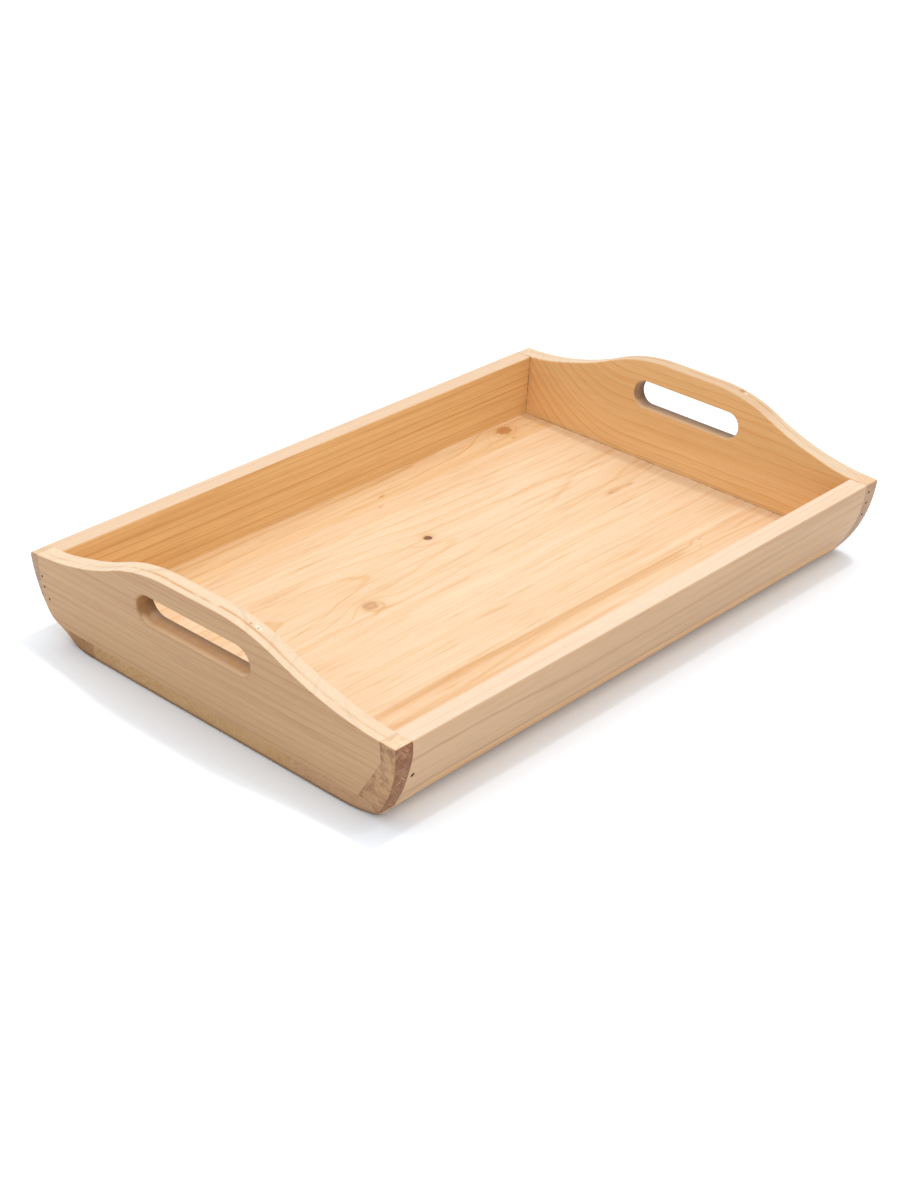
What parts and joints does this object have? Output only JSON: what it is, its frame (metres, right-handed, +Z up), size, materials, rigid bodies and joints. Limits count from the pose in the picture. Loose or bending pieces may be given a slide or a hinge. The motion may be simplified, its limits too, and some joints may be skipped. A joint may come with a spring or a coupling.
{
  "type": "serving tray",
  "caption": "Rectangular pine serving tray with curved side walls, leaning end walls that rise to crests with hand slots, corner posts and an edge-glued base.",
  "frame": {"origin": "on the resting surface, below the middle of the tray", "axes": "+X along the tray, from the left hand slot to the right one; +Y from the front side wall to the back one; +Z up"},
  "size_m": [0.4584, 0.3, 0.0852],
  "materials": {
    "base_pine": "sanded pine, edge-glued boards with knots, thin satin oil",
    "side_pine": "sanded pine, straight grain, thin satin oil",
    "end_pine": "sanded pine, flat-sawn grain, thin satin oil",
    "post_wood": "sanded brown wood, close figured grain",
    "steel": "dull steel brads set below the surface"
  },
  "bodies": {
    "root": {"base_board_front": "base_pine", "base_board_centre": "base_pine", "base_board_wide": "base_pine", "base_board_back": "base_pine", "front_side_wall": "side_pine", "back_side_wall": "side_pine", "left_end_wall": "end_pine", "right_end_wall": "end_pine", "front_left_post": "post_wood", "front_right_post": "post_wood", "back_left_post": "post_wood", "back_right_post": "post_wood", "front_left_brad": "steel", "front_right_brads": "steel", "back_left_brads": "steel", "back_right_brads": "steel", "left_base_brads": "steel", "right_base_brads": "steel"}
  },
  "joints": []
}
